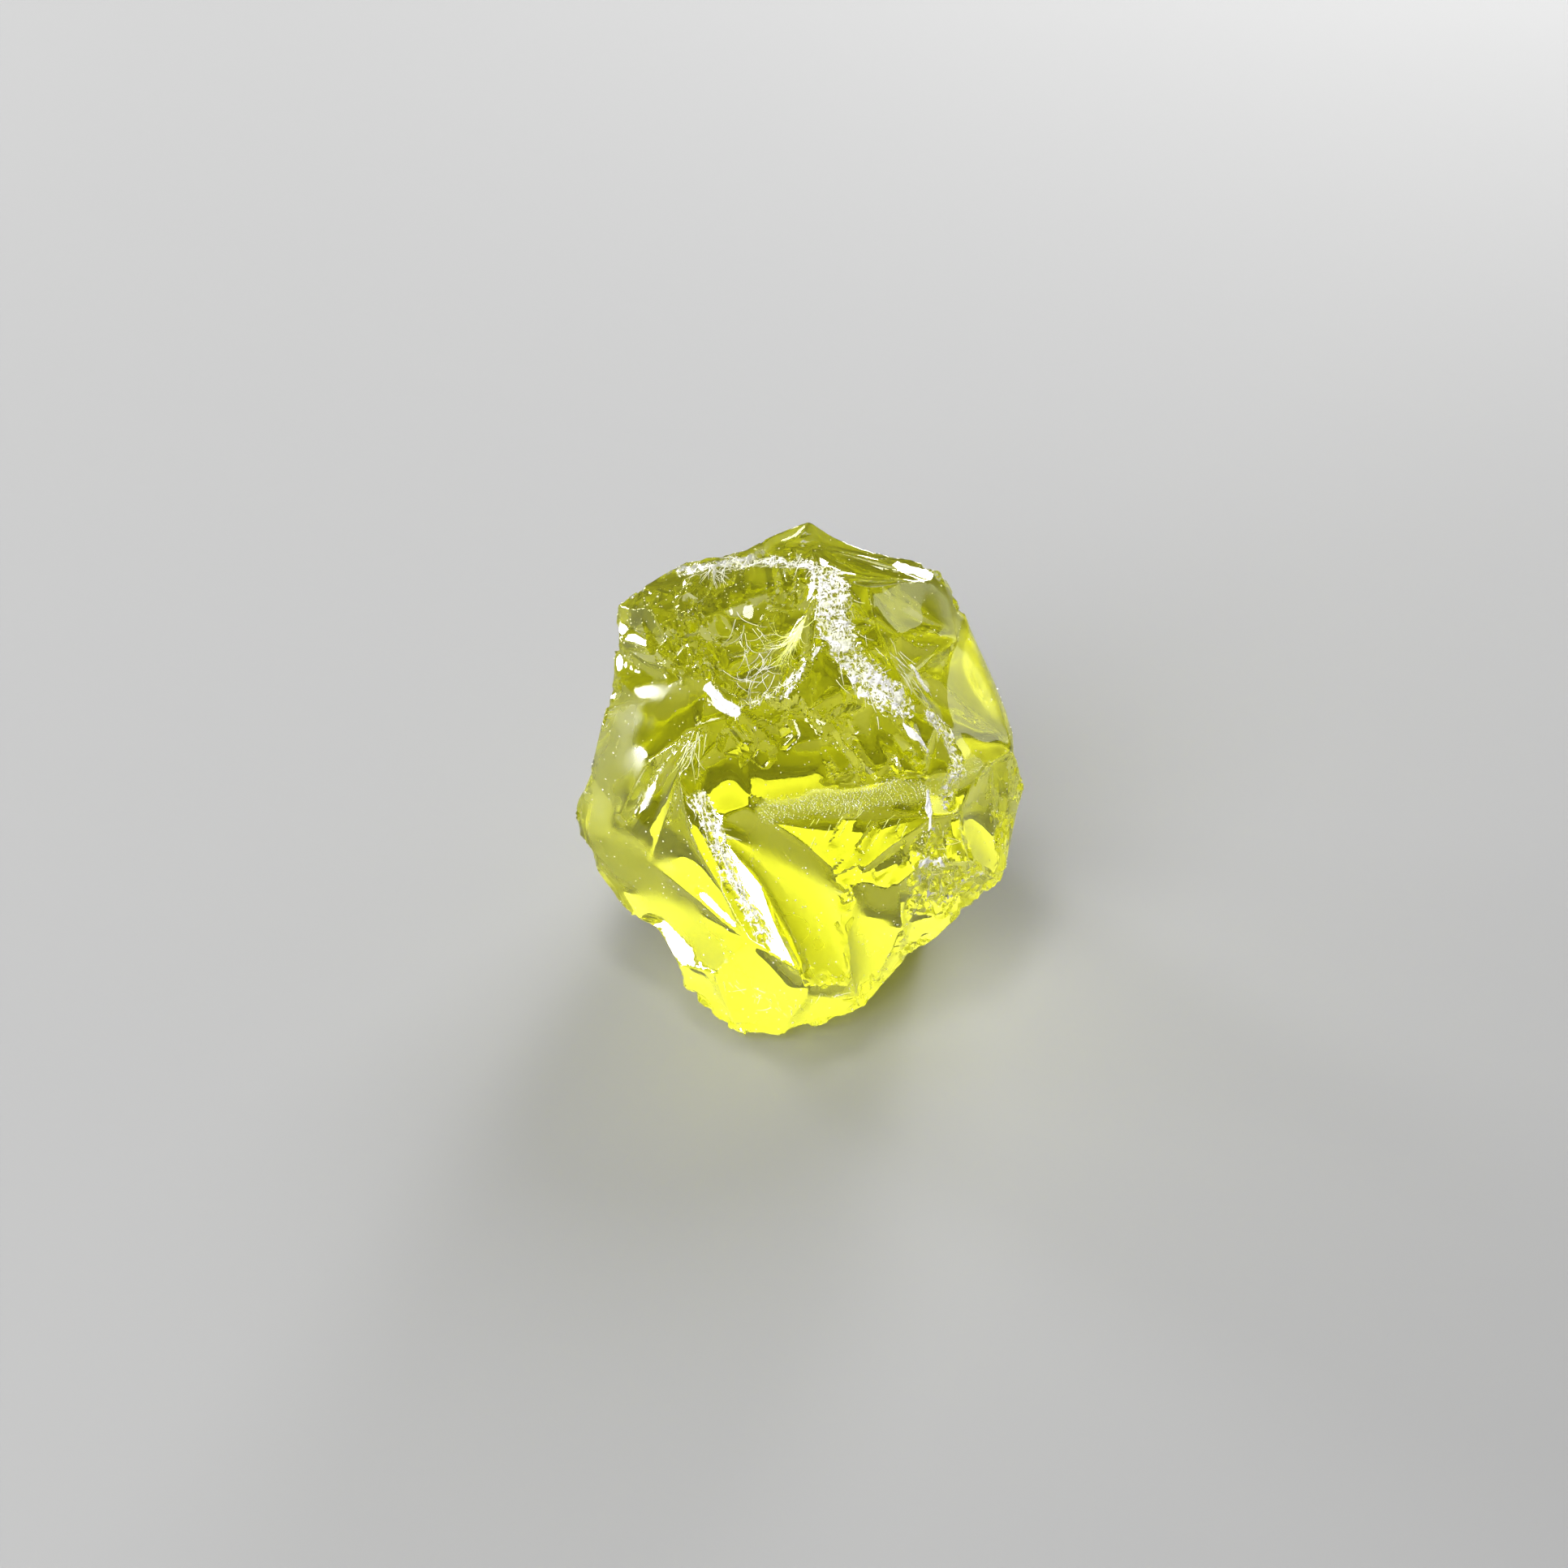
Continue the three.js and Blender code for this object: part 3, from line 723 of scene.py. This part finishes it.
# Bunches of fine threads that lie on the skin: the line they start on, how far they start beside it,
# where they head to, how far they stray from that, their number, the shortest and the longest, and how
# white they are.
THREADS = {
    "fan": ([(0.2, 17.7, 24.9), (0.0, 17.0, 24.6)],
            0.35, (-0.55, -0.5, -0.6), 0.55, 70, (1.2, 4.2), 0.15),
    "rim": ([(-6.2, 22.0, 25.7), (-4.3, 23.1, 25.8), (-2.5, 23.3, 25.9), (-0.6, 22.7, 26.1),
             (1.0, 21.0, 26.7)], 0.4, (0.0, -0.5, -0.8), 0.8, 150, (0.4, 1.8), 0.8),
    "ridge": ([(1.8, 20.1, 26.6), (2.1, 17.5, 26.4), (2.4, 14.8, 26.2), (3.3, 13.3, 25.3),
               (4.7, 12.0, 24.3), (6.4, 11.4, 23.1)], 1.3, (0.5, -0.6, -0.5), 1.4, 150, (0.4, 1.6), 0.9),
    "bowl": ([(-4.6, 19.0, 24.2), (-3.0, 18.0, 23.6), (-2.2, 15.2, 22.9), (-4.6, 15.5, 22.9)], 1.2,
             (0.1, -0.6, -0.6), 0.8, 40, (0.8, 3.0), 0.8),
    "lip": ([(-4.2, 11.5, 22.5), (-2.6, 11.6, 22.9), (-1.3, 12.1, 23.6), (-0.2, 12.4, 24.6)],
            0.25, (-0.1, 0.6, 0.5), 0.9, 60, (0.3, 1.3), 0.6),
    "below the ribbon": ([(0.5, 6.2, 17.3), (3.9, 6.5, 17.5), (7.0, 6.4, 16.8)],
                         1.0, (-0.5, -0.4, -0.8), 0.12, 18, (0.4, 1.2), 0.1),
    "right face": ([(5.0, 15.0, 25.4), (8.0, 12.8, 22.2), (9.4, 10.6, 19.6)],
                   1.0, (0.5, -0.1, -0.8), 0.3, 40, (0.4, 1.8), 0.7),
    # The fork threads are partly painted highlight: raised threads whose white stands in for the thin
    # highlights along the crease ridges.
    "fork": ([(-6.4, 10.5, 21.8), (-7.0, 9.8, 20.6)],
             0.4, (-0.3, -0.3, -0.9), 0.4, 16, (0.8, 3.0), 0.4),
    "streak": ([(-6.6, 7.9, 18.6), (-5.6, 5.9, 16.6), (-3.4, 3.1, 12.8)], 0.5, (0.3, -0.4, -0.85), 0.4,
               70, (0.5, 2.2), 0.8),
    "chips": ([(8.6, 6.9, 15.8), (8.5, 6.6, 12.0), (10.2, 8.3, 8.6)], 1.2, (0.1, -0.2, -0.9), 1.0,
              60, (0.4, 1.6), 0.4),
    "bottom": ([(-5.0, 3.0, 6.4), (-1.0, 2.6, 4.4), (3.4, 3.6, 5.6)], 1.0, (0.2, 0.2, -0.9), 1.0,
               40, (0.3, 1.2), 0.5),
}


def quarter(points, triangles):
    """Splits every triangle into four."""
    edges, of_triangle = edges_of(triangles)
    middle = of_triangle + len(points)
    a, b, c = triangles.T
    p, q, r = middle.T
    pieces = [(a, p, r), (p, b, q), (r, q, c), (p, q, r)]
    return np.vstack([points, points[edges].mean(1)]), np.vstack([np.stack(piece, 1) for piece in pieces])


def only(points, triangles):
    """Leaves out the points that no triangle uses, and says which are left."""
    used, number = np.unique(triangles, return_inverse=True)
    return points[used], number.reshape(-1, 3), used


def crust_cover(points):
    """Above 0 where the crust lies, and more towards the middle of a patch.

    It is whole in patches, and a lace of thin lines round them.
    """
    cover = np.full(len(points), -1.0)
    lace = np.maximum(
        1 - np.abs(noise(points, LACE_SIZE, 810)) / LACE_WIDTH,
        1 - np.abs(noise(points, FINE_LACE_SIZE, 820)) / LACE_WIDTH,
    )
    patch = noise(points, PATCH_SIZE, 830) + 0.6 * noise(points, FINE_PATCH_SIZE, 840)
    for line, half_width, _, _, fill in CRUSHED.values():
        near, gap = near_line(points, line, half_width, 0.6, 0.9, 850)
        share = 1 - gap / half_width
        whole = patch[near] + 2.6 * fill - 1.3 + 1.2 * (share - 0.5)
        mine = np.minimum(np.maximum(whole, lace[near] - 0.3), 3 * share)
        if fill == 0:
            mine = np.minimum(mine, patch[near] - 0.5)
        cover[near] = np.maximum(cover[near], mine)
    return cover


def make_crust(points, triangles):
    """The closed shells of white crust, some of it painted highlight: their points, triangles and
    whiteness.
    """
    centre = points[triangles].mean(1)
    near = np.zeros(len(triangles), bool)
    for line, half_width, _, _, _ in CRUSHED.values():
        beside, gap = near_line(centre, line, half_width)
        near[beside[gap < 1.3 * half_width]] = True
    near &= centre[:, 2] > CRUST_BEGINS
    fine, faces, _ = only(points, triangles[near])
    fine, faces = quarter(fine, faces)
    cover = crust_cover(fine)
    faces = faces[(cover[faces] > 0).all(1)]
    fine, faces, used = only(fine, faces)
    cover = cover[used]
    normal = point_normals(fine, faces)
    crumple = 1 - np.abs(noise(fine, 0.45, 860)) - 0.4 * np.abs(noise(fine, 0.2, 870))
    height = CRUST_EDGE + CRUST_HEIGHT * fade(cover, 0.0, 0.7) * np.clip(crumple, 0, 1)
    top = fine + normal * height[:, None]
    root = fine - normal * CRUST_ROOT
    sides = np.vstack([faces[:, [0, 1]], faces[:, [1, 2]], faces[:, [2, 0]]])
    key = sides[:, 0] * len(fine) + sides[:, 1]
    turned = sides[:, 1] * len(fine) + sides[:, 0]
    rim = sides[~np.isin(key, turned)]
    under = faces[:, ::-1] + len(fine)
    walls = np.vstack([
        np.stack([rim[:, 1], rim[:, 0], rim[:, 0] + len(fine)], 1),
        np.stack([rim[:, 1], rim[:, 0] + len(fine), rim[:, 1] + len(fine)], 1),
    ])
    whiteness = 0.55 + 0.6 * fade(noise(fine, 0.8, 880) + 0.5 * noise(fine, 0.25, 890), -0.5, 0.4)
    return np.vstack([top, root]), np.vstack([faces, under, walls]), np.tile(whiteness, 2)


def make_thread(random, tree, points, normals, start, heading, length, thickness):
    """A fine three-sided thread that follows the skin, and ends where the skin turns away from it."""
    place = np.array(tree.find(start)[0])
    turn = random.normal() * THREAD_TURN
    path = []
    for _ in range(max(3, int(length / THREAD_STEP)) + 1):
        _, number, gap = tree.find(place)
        if gap > THREAD_GAP:
            break
        normal = normals[number]
        heading = heading - normal * (heading @ normal)
        heading /= max(np.linalg.norm(heading), 1e-9)
        side = np.cross(normal, heading)
        heading = heading + side * (turn + THREAD_TURN * random.normal())
        place = place - normal * ((place - points[number]) @ normal)
        path.append((place, side, normal))
        place = place + heading * THREAD_STEP
    rings = []
    for step, (place, side, normal) in enumerate(path):
        width = thickness * (1 - THREAD_TAPER * step / len(path))
        top = place + normal * THREAD_HEIGHT * width
        rings.append([place + side * width, top, place - side * width])
    last = 3 * len(path) - 3
    faces = [(0, 2, 1), (last, last + 1, last + 2)]
    for a in range(0, last, 3):
        for k in range(3):
            m = (k + 1) % 3
            faces += [(a + k, a + m, a + 3 + k), (a + m, a + 3 + m, a + 3 + k)]
    return np.array(rings).reshape(-1, 3), np.array(faces)


def place_on(line, share):
    """The place at the given share of a line's corners."""
    line = np.array(line) + (0, FRONT, 0)
    at = share * (len(line) - 1)
    first = min(int(at), len(line) - 2)
    return line[first] + (line[first + 1] - line[first]) * (at - first)


def make_threads(points, normals):
    """All the threads that are longer than one step."""
    random = np.random.default_rng(CRUMB_SEED + 1)
    tree = tree_of(points)
    made = []
    for line, beside, towards, stray, count, lengths, whiteness in THREADS.values():
        for _ in range(count):
            start = place_on(line, random.uniform()) + random.normal(size=3) * beside / 2
            heading = np.array(towards) + random.normal(size=3) * stray / 2
            length = random.uniform(*lengths)
            thickness = random.uniform(*THREAD_THICKNESSES)
            thread, faces = make_thread(random, tree, points, normals, start, heading, length, thickness)
            white = whiteness + random.uniform(-0.15, 0.15)
            if len(faces) > 2:
                made.append((thread, faces, np.full(len(thread), white)))
    return made


def make_grain(random, place, normal, size):
    """The six corners of an uneven octahedron that lies on the skin."""
    across = np.cross(normal, random.normal(size=3))
    across /= np.linalg.norm(across)
    along = np.cross(normal, across) / np.linalg.norm(normal)
    corners = np.array([across, -across, along, -along, normal, -normal])
    return place + corners * size / 2 * random.uniform(0.6, 1.2, (6, 1))


def make_dust(points, normals):
    """Dust over the open skin, loose flakes in the crushed zones, and finer dust on the ribbon."""
    random = np.random.default_rng(CRUMB_SEED)
    open_skin = (normals @ (0, -0.4, 0.9) > 0.0).astype(float)
    made = []
    for k in random.choice(len(points), DUST_COUNT, p=open_skin / open_skin.sum()):
        size = random.uniform(*DUST_SIZES) + 0.08 * random.uniform() ** 4
        grain = make_grain(random, points[k], normals[k], size)
        made.append((grain, GRAIN_TRIANGLES, np.full(6, DUST_WHITENESS)))
    for zone, count in FLAKES.items():
        line, half_width = CRUSHED[zone][:2]
        near, gap = near_line(points, line, half_width)
        chance = fade(gap, 1.1 * half_width, 0.2 * half_width)
        for k in random.choice(near, count, p=chance / chance.sum()):
            size = random.uniform(*FLAKE_SIZES) + 0.22 * random.uniform() ** 3
            facing = normals[k] + random.normal(size=3) * 0.35
            facing *= FLAKE_THICKNESS / np.linalg.norm(facing)
            flake = make_grain(random, points[k], facing, size)
            made.append((flake, GRAIN_TRIANGLES, np.full(6, FLAKE_WHITENESS)))
    near, gap = near_line(points, MATT["ribbon"][0], 1.0)
    chance = fade(gap, 1.1, 0.3)
    for k in random.choice(near, RIBBON_DUST_COUNT, p=chance / chance.sum()):
        grain = make_grain(random, points[k], normals[k], random.uniform(*RIBBON_DUST_SIZES))
        made.append((grain, GRAIN_TRIANGLES, np.full(6, RIBBON_DUST_WHITENESS)))
    return made


def make_crumbs(points, triangles, normals):
    """The white crust, part of it painted highlight, the threads and the dust, in one piece."""
    made = [make_crust(points, triangles)] + make_threads(points, normals) + make_dust(points, normals)
    counts = np.cumsum([0] + [len(part[0]) for part in made])
    faces = np.vstack([part[1] + first for part, first in zip(made, counts)])
    piece = make_piece("crumbs", np.vstack([part[0] for part in made]), faces)
    whiteness = piece.data.attributes.new("whiteness", "FLOAT", "POINT")
    whiteness.data.foreach_set("value", np.concatenate([part[2] for part in made]))
    return piece


SHARP_ANGLE = math.radians(24)  # edges that bend more than this stay sharp


def make_stone():
    """The clear stone and the crumbs on it."""
    points, triangles, ridges, breaks = fine_skin("prasiolite")
    points, crushed = sculpt(points, triangles, ridges, breaks)
    edges, _, cosine = bend_at_edges(points, triangles)
    stone = make_piece("stone", points, triangles, edges[cosine < math.cos(SHARP_ANGLE)])
    frost = stone.data.attributes.new("frost", "FLOAT", "POINT")
    frost.data.foreach_set("value", frost_of(points, triangles, crushed))
    return stone, make_crumbs(points, triangles, point_normals(points, triangles))


stone, crumbs = make_stone()

# ---- crystal -------------------------------------------------------------------------------------

QUARTZ_IOR = 1.544
ABSORBED_COLOUR = (0.960, 0.966, 0.0)  # the crystal takes blue light out of white
ABSORPTION_PER_METRE = 130.0
CLEAR_ROUGHNESS = 0.02
FROSTED_ROUGHNESS = 0.8
CRUMB_ROUGHNESS = 0.15
YELLOW_CRUMBS = (0.86, 0.90, 0.22)
WHITE_CRUMBS = (0.98, 0.97, 0.94)
PATCH_SCALE = 900  # patches of about a millimetre


def crystal_material():
    material = bpy.data.materials.new("crystal")
    material.use_nodes = True
    nodes = material.node_tree.nodes
    links = material.node_tree.links
    nodes.clear()
    output = nodes.new("ShaderNodeOutputMaterial")
    shader = nodes.new("ShaderNodeBsdfPrincipled")
    shader.inputs["Base Color"].default_value = (1, 1, 1, 1)
    shader.inputs["IOR"].default_value = QUARTZ_IOR
    shader.inputs["Transmission Weight"].default_value = 1.0
    frost = nodes.new("ShaderNodeAttribute")
    frost.attribute_name = "frost"
    roughness = nodes.new("ShaderNodeMapRange")
    roughness.inputs["To Min"].default_value = CLEAR_ROUGHNESS
    roughness.inputs["To Max"].default_value = FROSTED_ROUGHNESS
    links.new(frost.outputs["Fac"], roughness.inputs["Value"])
    links.new(roughness.outputs["Result"], shader.inputs["Roughness"])
    volume = nodes.new("ShaderNodeVolumeAbsorption")
    volume.inputs["Color"].default_value = (*ABSORBED_COLOUR, 1)
    volume.inputs["Density"].default_value = ABSORPTION_PER_METRE
    links.new(shader.outputs["BSDF"], output.inputs["Surface"])
    links.new(volume.outputs["Volume"], output.inputs["Volume"])
    return material


def crumb_material():
    """Crushed quartz, and the crust of painted highlights: white, and yellower in patches and where its
    whiteness is low.
    """
    material = bpy.data.materials.new("crushed crystal and painted highlights")
    material.use_nodes = True
    nodes = material.node_tree.nodes
    links = material.node_tree.links
    shader = nodes["Principled BSDF"]
    shader.inputs["Roughness"].default_value = CRUMB_ROUGHNESS
    place = nodes.new("ShaderNodeTexCoord")
    patches = nodes.new("ShaderNodeTexNoise")
    patches.inputs["Scale"].default_value = PATCH_SCALE
    whiteness = nodes.new("ShaderNodeAttribute")
    whiteness.attribute_name = "whiteness"
    spread = nodes.new("ShaderNodeMath")
    spread.operation = "MULTIPLY_ADD"
    spread.inputs[1].default_value = 0.5
    tints = nodes.new("ShaderNodeValToRGB")
    tints.color_ramp.elements[0].position = 0.3
    tints.color_ramp.elements[0].color = (*YELLOW_CRUMBS, 1)
    tints.color_ramp.elements[1].position = 1.0
    tints.color_ramp.elements[1].color = (*WHITE_CRUMBS, 1)
    links.new(place.outputs["Object"], patches.inputs["Vector"])
    links.new(patches.outputs["Fac"], spread.inputs[0])
    links.new(whiteness.outputs["Fac"], spread.inputs[2])
    links.new(spread.outputs["Value"], tints.inputs["Fac"])
    links.new(tints.outputs["Color"], shader.inputs["Base Color"])
    return material


stone.data.materials.append(crystal_material())
crumbs.data.materials.append(crumb_material())

# ---- floor and light -----------------------------------------------------------------------------

FLOOR_DROP = 0.02  # below the resting face, so that the two faces don't lie in one plane
FLOOR_HALF = 600
FLOOR_GREY = 0.38
FLOOR_ROUGHNESS = 0.9
LIT_PLACE = (0, 0, 12)
WORLD_STRENGTH = 0.08


def make_floor():
    half = FLOOR_HALF * MM
    height = -FLOOR_DROP * MM
    corners = [(x, y, height) for x, y in ((-half, -half), (half, -half), (half, half), (-half, half))]
    mesh = bpy.data.meshes.new("floor")
    mesh.from_pydata(corners, [], [(0, 1, 2, 3)])
    floor = bpy.data.objects.new("floor", mesh)
    bpy.context.scene.collection.objects.link(floor)
    material = bpy.data.materials.new("floor")
    material.use_nodes = True
    shader = material.node_tree.nodes["Principled BSDF"]
    shader.inputs["Base Color"].default_value = (FLOOR_GREY, FLOOR_GREY, FLOOR_GREY, 1)
    shader.inputs["Roughness"].default_value = FLOOR_ROUGHNESS
    mesh.materials.append(material)


def softbox(name, towards, distance, size, radiance, seen_in="gloss"):
    """A soft area light in the given direction from the stone, facing it.

    It is seen in the gloss of the skin, or only through the stone, or in neither.
    """
    aim = Vector(LIT_PLACE)
    place = aim + Vector(towards).normalized() * distance
    data = bpy.data.lights.new(name, "AREA")
    data.shape = "ELLIPSE"
    data.size, data.size_y = size[0] * MM, size[1] * MM
    data.energy = radiance * math.pi * math.pi / 4 * data.size * data.size_y
    light = bpy.data.objects.new(name, data)
    bpy.context.scene.collection.objects.link(light)
    light.location = place * MM
    light.rotation_euler = (aim - place).to_track_quat("-Z", "Y").to_euler()
    light.visible_camera = False
    light.visible_glossy = seen_in == "gloss"
    light.visible_transmission = seen_in == "stone"
    light.visible_diffuse = seen_in != "stone"


def make_world():
    world = bpy.data.worlds.new("world")
    world.use_nodes = True
    background = world.node_tree.nodes["Background"]
    background.inputs["Color"].default_value = (1, 1, 1, 1)
    background.inputs["Strength"].default_value = WORLD_STRENGTH
    bpy.context.scene.world = world


make_floor()
make_world()
softbox("overhead", (-0.15, -0.12, 1.0), 320, (90, 80), 15)
softbox("left", (-0.73, 0.65, 0.20), 300, (80, 110), 18)
softbox("low left", (-0.98, 0.17, 0.09), 300, (80, 44), 30)
softbox("front left", (-0.79, -0.61, 0.05), 300, (120, 52), 36)
softbox("behind", (0.31, 0.92, 0.26), 320, (80, 90), 26)
softbox("right", (0.92, 0.33, 0.21), 320, (160, 110), 2)
softbox("fill", (-0.35, -0.60, 0.72), 340, (300, 260), 4.2, "neither")
softbox("back fill", (0.35, 0.75, 0.56), 320, (200, 160), 9, "neither")
softbox("glow", (0.20, 0.85, 0.50), 330, (660, 380), 1.9, "stone")
softbox("glow core", (0.12, 0.90, 0.30), 320, (300, 160), 0.9, "stone")
softbox("left glow", (-0.63, 0.49, 0.60), 320, (220, 180), 2.4, "stone")
softbox("front glow", (0.13, -0.66, 0.74), 320, (420, 260), 1.6, "stone")

scene = bpy.context.scene
scene.view_settings.view_transform = "Standard"

# Light crosses the stone many times before it leaves it.
scene.cycles.max_bounces = 24
scene.cycles.glossy_bounces = 16
scene.cycles.transmission_bounces = 24

# ---- hand over -----------------------------------------------------------------------------------

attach(stone, "root")
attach(crumbs, "root")
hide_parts("prasiolite")
